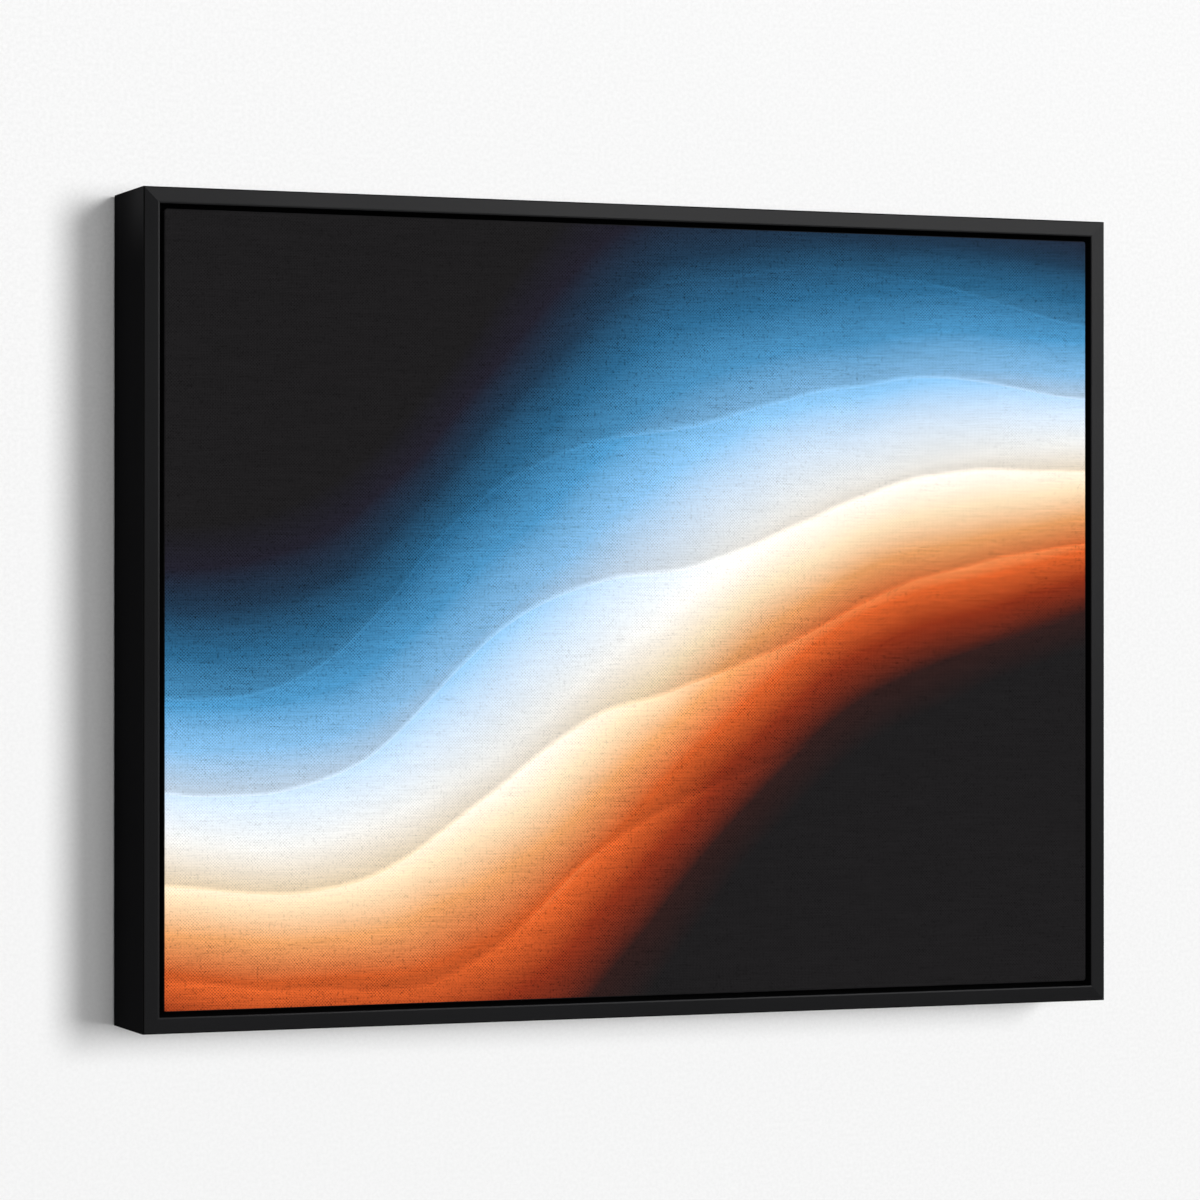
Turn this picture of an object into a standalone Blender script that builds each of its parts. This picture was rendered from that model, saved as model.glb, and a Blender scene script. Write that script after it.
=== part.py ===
"""Stretched canvas in a black floater frame, with the fittings on its back.

Metres, +Z up. The front faces -Y and the wall it hangs on is the plane y = 0.
The origin is the centre of that wall plane.
"""

import math

import bmesh
import bpy
from mathutils import Vector

# Outside sizes
WIDTH = 0.417
HEIGHT = 0.327
DEPTH = 0.043

# Clearance between neighbouring pieces
AIR = 0.0003

# Rubber bumpers hold the frame off the wall
BUMPER_RADIUS = 0.004
BUMPER_THICK = 0.0015
BUMPER_FROM_EDGE = 0.009

BACK = -(BUMPER_THICK + AIR)
FRONT = BACK - DEPTH

# Frame rail section: a wall whose face falls a little outwards, with a ledge at its back
FACE = 0.0065
FACE_FALL = 0.0005
LEDGE = 0.018
LEDGE_THICK = 0.009
OUTER_ROUND = 0.0004
LIP_ROUND = 0.0005

# Canvas
FLOAT_GAP = 0.002
RECESS = 0.001
CLOTH = 0.0005
CLOTH_ROUND = 0.001
FLAP = 0.020
CANVAS_WIDTH = WIDTH - 2 * (FACE + FLOAT_GAP)
CANVAS_HEIGHT = HEIGHT - 2 * (FACE + FLOAT_GAP)
CANVAS_FRONT = FRONT + RECESS
CANVAS_BACK = BACK - LEDGE_THICK - AIR

# Stretcher bar section: only its outer lip meets the cloth
BAR_WIDTH = 0.034
BAR_LIP = 0.005
BAR_FALL = 0.003
BAR_ROUND = 0.0006
BAR_LENGTH_X = CANVAS_WIDTH - 2 * (CLOTH + AIR)
BAR_LENGTH_Z = CANVAS_HEIGHT - 2 * (CLOTH + AIR)
BAR_FRONT = CANVAS_FRONT + CLOTH + AIR
BAR_BACK = CANVAS_BACK - CLOTH - AIR
BAR_DEPTH = BAR_BACK - BAR_FRONT
INSIDE_X = BAR_LENGTH_X / 2 - BAR_WIDTH
INSIDE_Z = BAR_LENGTH_Z / 2 - BAR_WIDTH

# Corner keys, two to a corner, each with its own level
KEY_THICK = 0.003
KEY_IN = 0.0095
KEY_OUT = 0.017
KEY_TIP = 0.0065
KEY_HEAD = 0.0125
KEY_LEVELS = (0.40, 0.60)

# Screws that hold the canvas to the ledge
FIX_FROM_EDGE = 0.01325
FIX_RADIUS = 0.0015
FIX_HEAD = 0.0033
FIX_LENGTH = 0.020
FIX_SUNK = 0.0002
FIX_ALONG_X = (-0.105, 0.105)
FIX_ALONG_Z = (-0.074, 0.074)
FIX_SLOT = (0.0034, 0.0007, 0.0010)

# Ring hangers on the backs of the upright bars
HANGER_X = INSIDE_X + 0.0074
HANGER_Z = 0.052
WIRE = 0.001
STRAP = 0.001
STRAP_WIDTH = 0.009
STRAP_DROP = 0.0135
RING_INSIDE = 0.0065
RING_STRAIGHT = 0.0045
CURL_INNER = WIRE + AIR
CURL_OUTER = CURL_INNER + STRAP
PIVOT_Y = BAR_BACK + AIR + 0.0001 + CURL_OUTER
SCREW_DROP = 0.0080
SCREW_RADIUS = 0.0014
SCREW_HEAD = 0.0028
SCREW_HEAD_HIGH = 0.0014
SCREW_LENGTH = 0.012

ROUND_STEPS = 24

COLOURS = {
    "lacquer": ((0.030, 0.029, 0.028), 0.0, 0.38),
    "pine": ((0.62, 0.43, 0.25), 0.0, 0.60),
    "cloth": ((0.05, 0.06, 0.11), 0.0, 0.85),
    "beech": ((0.70, 0.50, 0.30), 0.0, 0.55),
    "zinc": ((0.62, 0.60, 0.55), 1.0, 0.35),
    "nickel": ((0.70, 0.69, 0.67), 1.0, 0.25),
    "rubber": ((0.05, 0.05, 0.05), 0.0, 0.80),
}


def start_empty():
    for obj in list(bpy.data.objects):
        bpy.data.objects.remove(obj, do_unlink=True)


def new_collection(name):
    made = bpy.data.collections.new(name)
    bpy.context.scene.collection.children.link(made)
    return made


def make_material(name, kind):
    colour, metal, rough = COLOURS[kind]
    made = bpy.data.materials.new(name)
    made.use_nodes = True
    shader = made.node_tree.nodes["Principled BSDF"]
    shader.inputs["Base Color"].default_value = (*colour, 1.0)
    shader.inputs["Metallic"].default_value = metal
    shader.inputs["Roughness"].default_value = rough
    made.diffuse_color = (*colour, 1.0)
    return made


def mesh_from(bm, name):
    bmesh.ops.recalc_face_normals(bm, faces=bm.faces)
    mesh = bpy.data.meshes.new(name)
    bm.to_mesh(mesh)
    bm.free()
    return mesh


def place(mesh, name, kind, at=(0, 0, 0), turn=(0, 0, 0)):
    """A visible sub-part with its own material."""
    obj = bpy.data.objects.new(name, mesh)
    obj.location = at
    obj.rotation_euler = turn
    mesh.materials.append(make_material(name, kind))
    mesh.shade_smooth()
    mesh.set_sharp_from_angle(angle=math.radians(35))
    PARTS.objects.link(obj)
    return obj


def place_cutter(mesh, name, at=(0, 0, 0), turn=(0, 0, 0)):
    obj = bpy.data.objects.new(name, mesh)
    obj.location = at
    obj.rotation_euler = turn
    obj.display_type = "WIRE"
    obj.hide_render = True
    CUTTERS.objects.link(obj)
    return obj


def cut(obj, cutter):
    boolean = obj.modifiers.new(cutter.name, "BOOLEAN")
    boolean.operation = "DIFFERENCE"
    boolean.solver = "EXACT"
    boolean.object = cutter


def soften(obj, width, steps=1):
    bevel = obj.modifiers.new("soft_edges", "BEVEL")
    bevel.width = width
    bevel.segments = steps
    bevel.limit_method = "ANGLE"
    bevel.angle_limit = math.radians(40)


def fillet(points, steps=4):
    """Corners given as (u, v, radius) turned into a plain outline, round where the radius isn't 0."""
    outline = []
    for i, (u, v, radius) in enumerate(points):
        here = Vector((u, v))
        if not radius:
            outline.append(here)
            continue
        before = (Vector(points[i - 1][:2]) - here).normalized()
        after = (Vector(points[(i + 1) % len(points)][:2]) - here).normalized()
        half = before.angle(after) / 2
        centre = here + (before + after).normalized() * (radius / math.sin(half))
        first = (here + before * (radius / math.tan(half)) - centre).normalized()
        last = (here + after * (radius / math.tan(half)) - centre).normalized()
        for k in range(steps + 1):
            outline.append(centre + first.slerp(last, k / steps) * radius)
    return outline


def mitred_bar(name, section, length):
    """A straight bar along X cut at 45 degrees at both ends.

    The section is (u, v): u runs inwards from the outer edge at z = 0 and v runs back along Y.
    """
    bm = bmesh.new()
    outline = fillet(section)
    ring = [bm.verts.new((-length / 2 + u, v, -u)) for u, v in outline]
    face = bm.faces.new(ring)
    made = bmesh.ops.extrude_face_region(bm, geom=[face])
    for vert in (g for g in made["geom"] if isinstance(g, bmesh.types.BMVert)):
        vert.co.x = -vert.co.x
    return mesh_from(bm, name)


def box(name, low, high):
    bm = bmesh.new()
    bmesh.ops.create_cube(bm, size=1.0)
    for vert in bm.verts:
        share = [c + 0.5 for c in vert.co]
        vert.co = [a + s * (b - a) for s, a, b in zip(share, low, high)]
    return mesh_from(bm, name)


def prism(name, outline, thick):
    """A flat outline in X and Z, given a thickness along Y."""
    bm = bmesh.new()
    face = bm.faces.new([bm.verts.new((x, 0, z)) for x, z in outline])
    made = bmesh.ops.extrude_face_region(bm, geom=[face])
    moved = [g for g in made["geom"] if isinstance(g, bmesh.types.BMVert)]
    bmesh.ops.translate(bm, verts=moved, vec=(0, thick, 0))
    return mesh_from(bm, name)


def turned(name, profile, steps=ROUND_STEPS):
    """A solid turned about Y from (radius, y) points; the first and last lie on the axis."""
    bm = bmesh.new()
    verts = [bm.verts.new((r, y, 0)) for r, y in profile]
    edges = [bm.edges.new(pair) for pair in zip(verts, verts[1:])]
    bmesh.ops.spin(
        bm, geom=verts + edges, cent=(0, 0, 0), axis=(0, 1, 0),
        angle=math.tau, steps=steps, use_merge=True,
    )
    bmesh.ops.remove_doubles(bm, verts=bm.verts, dist=1e-6)
    return mesh_from(bm, name)


start_empty()
PARTS = new_collection("framed_canvas")
CUTTERS = new_collection("cutters")

# The four sides, as the turn about Y that takes the top side to each of them
SIDES = {
    "top": (0.0, (0, HEIGHT / 2), WIDTH),
    "right": (math.pi / 2, (WIDTH / 2, 0), HEIGHT),
    "bottom": (math.pi, (0, -HEIGHT / 2), WIDTH),
    "left": (-math.pi / 2, (-WIDTH / 2, 0), HEIGHT),
}


def on_side(side, inwards, along):
    """X and Z of a point this far in from the outer edge of a side and this far along it."""
    angle, (x, z), _ = SIDES[side]
    outwards = Vector((math.sin(angle), math.cos(angle)))
    sideways = Vector((math.cos(angle), -math.sin(angle)))
    return Vector((x, z)) - outwards * inwards + sideways * along


# Frame rails
MITRE_AIR = AIR / 2 * math.sqrt(2)
rail_section = [
    (0, FACE_FALL, OUTER_ROUND),
    (FACE, 0, LIP_ROUND),
    (FACE, DEPTH - LEDGE_THICK, 0),
    (LEDGE, DEPTH - LEDGE_THICK, 0),
    (LEDGE, DEPTH, OUTER_ROUND),
    (0, DEPTH, OUTER_ROUND),
]
rails = {}
for side, (angle, (x, z), length) in SIDES.items():
    mesh = mitred_bar(f"rail_{side}", rail_section, length - 2 * MITRE_AIR)
    rails[side] = place(mesh, f"rail_{side}", "lacquer", (x, FRONT, z), (0, angle, 0))

# Stretcher bars
bar_section = [
    (0, 0, BAR_ROUND),
    (BAR_LIP, 0, 0),
    (BAR_WIDTH, BAR_FALL, 0.0012),
    (BAR_WIDTH, BAR_DEPTH, 0.0008),
    (0, BAR_DEPTH, 0.0008),
]
bars = {}
bar_from_edge = FACE + FLOAT_GAP + CLOTH + AIR
for side, (angle, _, length) in SIDES.items():
    x, z = on_side(side, bar_from_edge, 0)
    mesh = mitred_bar(f"bar_{side}", bar_section, length - 2 * (bar_from_edge + MITRE_AIR))
    bars[side] = place(mesh, f"bar_{side}", "pine", (x, BAR_FRONT, z), (0, angle, 0))

# Canvas: one sheet over the front, round the sides and folded in on the back
half_x, half_z = CANVAS_WIDTH / 2, CANVAS_HEIGHT / 2
mesh = box("canvas", (-half_x, CANVAS_FRONT, -half_z), (half_x, CANVAS_BACK, half_z))
canvas = place(mesh, "canvas", "cloth")
soften(canvas, CLOTH_ROUND, 3)
mesh = box(
    "canvas_hollow",
    (-half_x + CLOTH, CANVAS_FRONT + CLOTH, -half_z + CLOTH),
    (half_x - CLOTH, CANVAS_BACK - CLOTH, half_z - CLOTH),
)
canvas_hollow = place_cutter(mesh, "canvas_hollow")
soften(canvas_hollow, CLOTH_ROUND - CLOTH, 3)
mesh = box(
    "canvas_back_opening",
    (-half_x + FLAP, CANVAS_BACK - 0.006, -half_z + FLAP),
    (half_x - FLAP, CANVAS_BACK + 0.006, half_z - FLAP),
)
canvas_opening = place_cutter(mesh, "canvas_back_opening")
cut(canvas, canvas_hollow)
cut(canvas, canvas_opening)

# Fixing screws and their holes through ledge, cloth and bar
screw_top = BACK - FIX_SUNK
cone = FIX_HEAD - FIX_RADIUS
screw_profile = [
    (0, 0), (FIX_HEAD, 0), (FIX_HEAD, -0.0003), (FIX_RADIUS, -0.0003 - cone),
    (FIX_RADIUS, -FIX_LENGTH + 0.003), (0, -FIX_LENGTH),
]
wide = 0.00045
hole_profile = [
    (0, 0.002), (FIX_HEAD + wide, 0.002), (FIX_HEAD + wide, -0.0003),
    (FIX_RADIUS + AIR, -0.0003 - cone - wide + AIR),
    (FIX_RADIUS + AIR, -FIX_LENGTH - AIR), (0, -FIX_LENGTH - AIR),
]
number = 0
for side in SIDES:
    for along in FIX_ALONG_X if side in ("top", "bottom") else FIX_ALONG_Z:
        number += 1
        x, z = on_side(side, FIX_FROM_EDGE, along)
        screw = place(
            turned("fixing_screw", screw_profile), f"fixing_screw_{number}", "zinc",
            (x, screw_top, z),
        )
        hole = place_cutter(
            turned("fixing_hole", hole_profile), f"fixing_hole_{number}", (x, screw_top, z)
        )
        for holed in (rails[side], canvas, bars[side]):
            cut(holed, hole)
        long, thin, deep = FIX_SLOT
        for k, (a, b) in enumerate(((long, thin), (thin, long))):
            mesh = box("recess", (-a / 2, -deep, -b / 2), (a / 2, 0.001, b / 2))
            cut(screw, place_cutter(mesh, f"recess_{number}_{k}", (x, screw_top, z)))

# Corner keys, driven into slots at the inner corners
for sx, side_x in ((-1, "left"), (1, "right")):
    for sz, side_z in ((-1, "bottom"), (1, "top")):
        for level, (share, bar) in enumerate(zip(KEY_LEVELS, (side_x, side_z))):
            y = BAR_FRONT + BAR_DEPTH * share
            tip, head = KEY_IN, -KEY_OUT
            key = [(tip, -AIR), (head, -AIR), (head, -KEY_HEAD), (tip, -KEY_TIP)]
            slot = [
                (tip + AIR, KEY_IN + 0.002), (-0.004, KEY_IN + 0.002),
                (-0.004, -KEY_TIP - 0.0055), (tip + AIR, -KEY_TIP - AIR),
            ]
            # A key tipped into an upright bar lies along the level bar, and the other way round
            flip = bar == side_z
            shapes = []
            for outline in (key, slot):
                if flip:
                    outline = [(b, a) for a, b in outline]
                shapes.append([(sx * (INSIDE_X + a), sz * (INSIDE_Z + b)) for a, b in outline])
            name = f"key_{side_z}_{side_x}_{'ab'[level]}"
            wedge = place(prism(name, shapes[0], KEY_THICK), name, "beech", (0, y, 0))
            soften(wedge, 0.0003)
            mesh = prism(name + "_slot", shapes[1], KEY_THICK + 2 * AIR)
            cut(bars[bar], place_cutter(mesh, name + "_slot", (0, y - AIR, 0)))

# Rubber bumpers at the back corners
for sx, side_x in ((-1, "left"), (1, "right")):
    for sz, side_z in ((-1, "bottom"), (1, "top")):
        x = sx * (WIDTH / 2 - BUMPER_FROM_EDGE)
        z = sz * (HEIGHT / 2 - BUMPER_FROM_EDGE)
        profile = [
            (0, 0), (BUMPER_RADIUS - 0.0005, 0), (BUMPER_RADIUS, -0.0005),
            (BUMPER_RADIUS, -BUMPER_THICK), (0, -BUMPER_THICK),
        ]
        name = f"bumper_{side_z}_{side_x}"
        place(turned(name, profile), name, "rubber", (x, 0, z))

# Ring hangers: a strap curled round the straight side of a D-shaped ring
strap_back = PIVOT_Y - CURL_OUTER + STRAP
for sx, side_x in ((-1, "left"), (1, "right")):
    at = (sx * HANGER_X, PIVOT_Y, HANGER_Z)

    # Strap: plate with a round end below, and a curl about the pivot above
    half = STRAP_WIDTH / 2
    bm = bmesh.new()
    low_y, high_y = -CURL_OUTER, -CURL_OUTER + STRAP
    drop = STRAP_DROP - half
    outline = [(-half, 0)]
    outline += [
        (half * math.cos(a), -drop + half * math.sin(a))
        for a in (math.pi + math.pi * k / 12 for k in range(13))
    ]
    outline += [(half, 0)]
    face = bm.faces.new([bm.verts.new((px, low_y, pz)) for px, pz in outline])
    made = bmesh.ops.extrude_face_region(bm, geom=[face])
    moved = [g for g in made["geom"] if isinstance(g, bmesh.types.BMVert)]
    bmesh.ops.translate(bm, verts=moved, vec=(0, high_y - low_y, 0))
    strap = place(mesh_from(bm, "strap"), f"strap_{side_x}", "zinc", at)

    curl_mesh = turned("curl", [(0, -half), (CURL_OUTER, -half), (CURL_OUTER, half), (0, half)])
    curl = place_cutter(curl_mesh, f"curl_{side_x}", at, (0, 0, math.pi / 2))
    union = strap.modifiers.new("curl", "BOOLEAN")
    union.operation = "UNION"
    union.solver = "EXACT"
    union.object = curl
    eye_mesh = turned("eye", [(0, -0.01), (CURL_INNER, -0.01), (CURL_INNER, 0.01), (0, 0.01)])
    cut(strap, place_cutter(eye_mesh, f"eye_{side_x}", at, (0, 0, math.pi / 2)))

    # Screw through the strap into the bar
    head_y = strap_back + AIR + SCREW_HEAD_HIGH
    spot = (at[0], head_y, HANGER_Z - SCREW_DROP)
    profile = [
        (0, 0), (SCREW_HEAD * 0.6, 0), (SCREW_HEAD * 0.9, -0.0004), (SCREW_HEAD, -0.0009),
        (SCREW_HEAD, -SCREW_HEAD_HIGH), (SCREW_RADIUS, -SCREW_HEAD_HIGH),
        (SCREW_RADIUS, -SCREW_LENGTH + 0.002), (0, -SCREW_LENGTH),
    ]
    screw = place(turned("strap_screw", profile), f"strap_screw_{side_x}", "zinc", spot)
    long, thin, deep = 0.0028, 0.0006, 0.0008
    for k, (a, b) in enumerate(((long, thin), (thin, long))):
        mesh = box("recess", (-a / 2, -deep, -b / 2), (a / 2, 0.001, b / 2))
        cut(screw, place_cutter(mesh, f"strap_recess_{side_x}_{k}", spot))
    profile = [
        (0, 0.002), (SCREW_RADIUS + AIR, 0.002), (SCREW_RADIUS + AIR, -SCREW_LENGTH - AIR),
        (0, -SCREW_LENGTH - AIR),
    ]
    hole = place_cutter(turned("strap_hole", profile), f"strap_hole_{side_x}", spot)
    cut(strap, hole)
    cut(bars[side_x], hole)

    # Ring: a closed wire curve whose origin is on the pivot, hanging over the strap
    reach = RING_INSIDE + WIRE
    path = [(-reach + 0.0016, 0), (-reach + 0.0005, -0.0005), (-reach, -0.0016)]
    path += [
        (reach * math.cos(a), -RING_STRAIGHT + reach * math.sin(a))
        for a in (math.pi + math.pi * k / 20 for k in range(21))
    ]
    path += [(reach, -0.0016), (reach - 0.0005, -0.0005), (reach - 0.0016, 0)]
    curve = bpy.data.curves.new(f"ring_{side_x}", "CURVE")
    curve.dimensions = "3D"
    curve.bevel_depth = WIRE
    curve.bevel_resolution = 3
    spline = curve.splines.new("POLY")
    spline.points.add(len(path) - 1)
    for point, (px, pz) in zip(spline.points, path):
        point.co = (px, 0, pz, 1)
    spline.use_cyclic_u = True
    spline.use_smooth = True
    ring = bpy.data.objects.new(f"ring_{side_x}", curve)
    ring.location = at
    curve.materials.append(make_material(f"ring_{side_x}", "nickel"))
    PARTS.objects.link(ring)
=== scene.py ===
"""Looks of the framed canvas print: materials, cloth, small fittings, wall, lights and camera."""

import math
import random

import bmesh
import bpy
from mathutils import Matrix, Vector


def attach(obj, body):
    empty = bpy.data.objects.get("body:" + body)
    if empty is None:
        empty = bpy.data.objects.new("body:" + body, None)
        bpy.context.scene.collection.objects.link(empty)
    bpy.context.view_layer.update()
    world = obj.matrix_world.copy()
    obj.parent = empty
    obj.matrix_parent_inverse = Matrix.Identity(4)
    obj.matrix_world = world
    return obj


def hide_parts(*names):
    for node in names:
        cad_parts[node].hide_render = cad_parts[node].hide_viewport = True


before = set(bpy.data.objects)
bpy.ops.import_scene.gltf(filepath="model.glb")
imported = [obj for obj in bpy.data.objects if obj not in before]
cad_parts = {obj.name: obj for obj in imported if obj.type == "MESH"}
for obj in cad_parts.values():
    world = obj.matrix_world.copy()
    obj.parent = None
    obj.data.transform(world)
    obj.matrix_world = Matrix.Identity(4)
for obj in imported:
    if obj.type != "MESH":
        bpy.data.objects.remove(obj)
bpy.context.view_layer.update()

# Sizes repeated from the part's source, in metres. The wall is at y = 0 and the room at y below 0.
WIDTH, HEIGHT, DEPTH = 0.417, 0.327, 0.043
BACK = -0.0018
FRONT = BACK - DEPTH
FACE, LEDGE, LEDGE_THICK = 0.0065, 0.018, 0.009
AIR = 0.0003
CANVAS_X, CANVAS_Z = 0.200, 0.155
CANVAS_FRONT = FRONT + 0.001
CANVAS_BACK = BACK - LEDGE_THICK - AIR
CLOTH = 0.0005
FLAP = 0.020
FIX_FROM_EDGE = 0.01325
PIVOT = Vector((0.1726, -0.0092, 0.052))

# Each side's turn about Y, the middle of its outer edge and its length
SIDES = {
    "top": (0.0, (0, HEIGHT / 2), WIDTH),
    "right": (math.pi / 2, (WIDTH / 2, 0), HEIGHT),
    "bottom": (math.pi, (0, -HEIGHT / 2), WIDTH),
    "left": (-math.pi / 2, (-WIDTH / 2, 0), HEIGHT),
}

# Each corner's signs of x and z, named bottom or top and left or right
CORNERS = {"bl": (-1, -1), "tl": (-1, 1), "br": (1, -1), "tr": (1, 1)}


def side_ways(side):
    """Which way a side faces and which way it runs, as x and z."""
    angle = SIDES[side][0]
    return Vector((math.sin(angle), math.cos(angle))), Vector((math.cos(angle), -math.sin(angle)))


def on_side(side, inwards, along):
    """The x and z of a point this far in from a side's outer edge and along it from its middle."""
    outwards, sideways = side_ways(side)
    return Vector(SIDES[side][1]) - outwards * inwards + sideways * along


# Materials

class Shader:
    """A material whose nodes are written as short calls. Each call returns an output socket."""

    def __init__(self, name, rough=0.5, metal=0.0, level=0.5, **uniform):
        self.material = bpy.data.materials.new(name)
        self.material.use_nodes = True
        self.tree = self.material.node_tree
        self.bsdf = self.tree.nodes["Principled BSDF"]
        self.set("Roughness", rough)
        self.set("Metallic", metal)
        self.set("Specular IOR Level", level)
        for key, value in uniform.items():
            self.set(key.replace("_", " "), value)
        coords = self.tree.nodes.new("ShaderNodeTexCoord")
        self.place = coords.outputs["Object"]
        self.bumped = None

    def feed(self, slot, value):
        """Links a socket to a slot, or sets the slot to a plain value."""
        if isinstance(value, bpy.types.NodeSocket):
            self.tree.links.new(value, slot)
        else:
            slot.default_value = value

    def set(self, socket, value):
        self.feed(self.bsdf.inputs[socket], value)

    def node(self, kind, inputs=(), **settings):
        made = self.tree.nodes.new(kind)
        for key, value in settings.items():
            setattr(made, key, value)
        for key, value in dict(inputs).items():
            self.feed(made.inputs[key], value)
        return made

    def math(self, op, *values, clamp=False):
        made = self.node("ShaderNodeMath", enumerate(values), operation=op, use_clamp=clamp)
        return made.outputs[0]

    def add(self, a, b):
        return self.math("ADD", a, b)

    def sub(self, a, b):
        return self.math("SUBTRACT", a, b)

    def mul(self, a, b):
        return self.math("MULTIPLY", a, b)

    def total(self, *values):
        out = values[0]
        for value in values[1:]:
            out = self.add(out, value)
        return out

    def wave(self, at, rate, phase, size):
        """size * sin(rate * at + phase)"""
        return self.mul(self.math("SINE", self.math("MULTIPLY_ADD", at, rate, phase)), size)

    def step(self, value, low, high, to_low=0.0, to_high=1.0):
        """A smooth change from to_low to to_high as value goes from low to high."""
        inputs = {"Value": value, "From Min": low, "From Max": high,
                  "To Min": to_low, "To Max": to_high}
        made = self.node("ShaderNodeMapRange", inputs, interpolation_type="SMOOTHSTEP")
        return made.outputs[0]

    def scaled(self, scale, offset=(0, 0, 0)):
        made = self.node("ShaderNodeMapping", {"Vector": self.place, "Scale": scale,
                                               "Location": offset})
        return made.outputs[0]

    def xyz(self):
        return self.node("ShaderNodeSeparateXYZ", {"Vector": self.place}).outputs[:3]

    def inset(self, half_x, half_z):
        """How far in a point lies from the nearest side of a rectangle."""
        x, _, z = self.xyz()
        return self.math("MINIMUM", self.sub(half_x, self.math("ABSOLUTE", x)),
                         self.sub(half_z, self.math("ABSOLUTE", z)))

    def noise(self, scale, vector=None, detail=3.0, rough=0.5, twist=0.0):
        inputs = {"Vector": vector or self.place, "Scale": scale, "Detail": detail,
                  "Roughness": rough, "Distortion": twist}
        return self.node("ShaderNodeTexNoise", inputs).outputs["Fac"]

    def ramp(self, value, stops):
        made = self.node("ShaderNodeValToRGB", {"Fac": value})
        points = made.color_ramp.elements
        while len(points) < len(stops):
            points.new(0.5)
        for point, (where, colour) in zip(points, stops):
            point.position = where
            point.color = colour
        return made.outputs["Color"]

    def grey(self, value):
        return self.node("ShaderNodeCombineXYZ", {"X": value, "Y": value, "Z": value}).outputs[0]

    def blend(self, share, a, b, mode="MIX"):
        made = self.node("ShaderNodeMix", data_type="RGBA", blend_type=mode)
        for slot, value in ((0, share), (6, a), (7, b)):
            self.feed(made.inputs[slot], value)
        return made.outputs[2]

    def bump(self, height, distance, strength=1.0):
        """Adds a layer of relief over the ones before it."""
        inputs = {"Height": height, "Distance": distance, "Strength": strength}
        if self.bumped:
            inputs["Normal"] = self.bumped
        self.bumped = self.node("ShaderNodeBump", inputs).outputs["Normal"]
        self.set("Normal", self.bumped)


def rgb(r, g, b):
    """A colour from 0 to 255 as it looks on screen, made linear."""
    def linear(c):
        c /= 255
        return c / 12.92 if c <= 0.04045 else ((c + 0.055) / 1.055) ** 2.4
    return (linear(r), linear(g), linear(b), 1.0)


def lacquer(name, level, rough, dark, pale, painted_light=None, worn=None):
    """Black paint on wood, with faint mottling and fine orange peel."""
    s = Shader(name, level=level)
    cloud = s.noise(9.0, detail=4.0)
    speck = s.noise(900.0, detail=2.0)
    tone = s.total(s.mul(cloud, 0.5), s.mul(speck, 0.35))
    colour = s.ramp(tone, [(0.25, rgb(*dark)), (0.65, rgb(*pale))])
    if painted_light:
        # Painted light: the outer sides are a little paler towards their top front corners
        x, y, z = s.xyz()
        painted_light_top, painted_light_depth = 0.035, 0.010
        side = s.step(s.math("ABSOLUTE", x), WIDTH / 2 - 0.0004, WIDTH / 2 - 0.0002)
        upper = s.math("POWER", s.step(z, HEIGHT / 2 - painted_light_top, HEIGHT / 2), 1.5)
        forward = s.step(y, BACK - painted_light_depth, FRONT, 0.15, 1.0)
        colour = s.blend(s.mul(side, s.mul(upper, forward)), colour, rgb(*painted_light))
    if worn:
        # Paint rubbed thin in spots along the outer edges
        rubbed_fully, rubbed_at_all = 0.0003, 0.0010
        edge = s.step(s.inset(WIDTH / 2, HEIGHT / 2), rubbed_at_all, rubbed_fully)
        spots = s.step(s.noise(60.0, detail=4.0), 0.4, 0.6)
        colour = s.blend(s.mul(s.mul(edge, spots), 0.5), colour, rgb(*worn))
    s.set("Base Color", colour)
    s.set("Roughness", s.step(cloud, 0.3, 0.7, rough - 0.03, rough + 0.05))
    s.bump(s.noise(2600.0, detail=2.0), 0.00001, 0.5)
    s.bump(s.noise(260.0, detail=2.0), 0.00003, 0.15)
    return s.material


# Width of one thread, and how much each unevenness of the cloth lightens or darkens it. The checks are
# painted light and shade on the crossings, and the pits painted shade
WEAVE = 0.00063
CHECK_SHADE, STREAKS, UPRIGHT_STREAKS = 0.32, 0.065, 0.02
PIT_SHADE, DEEP_PIT_SHADE, SLUBS = 0.25, 0.24, 0.12


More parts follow.
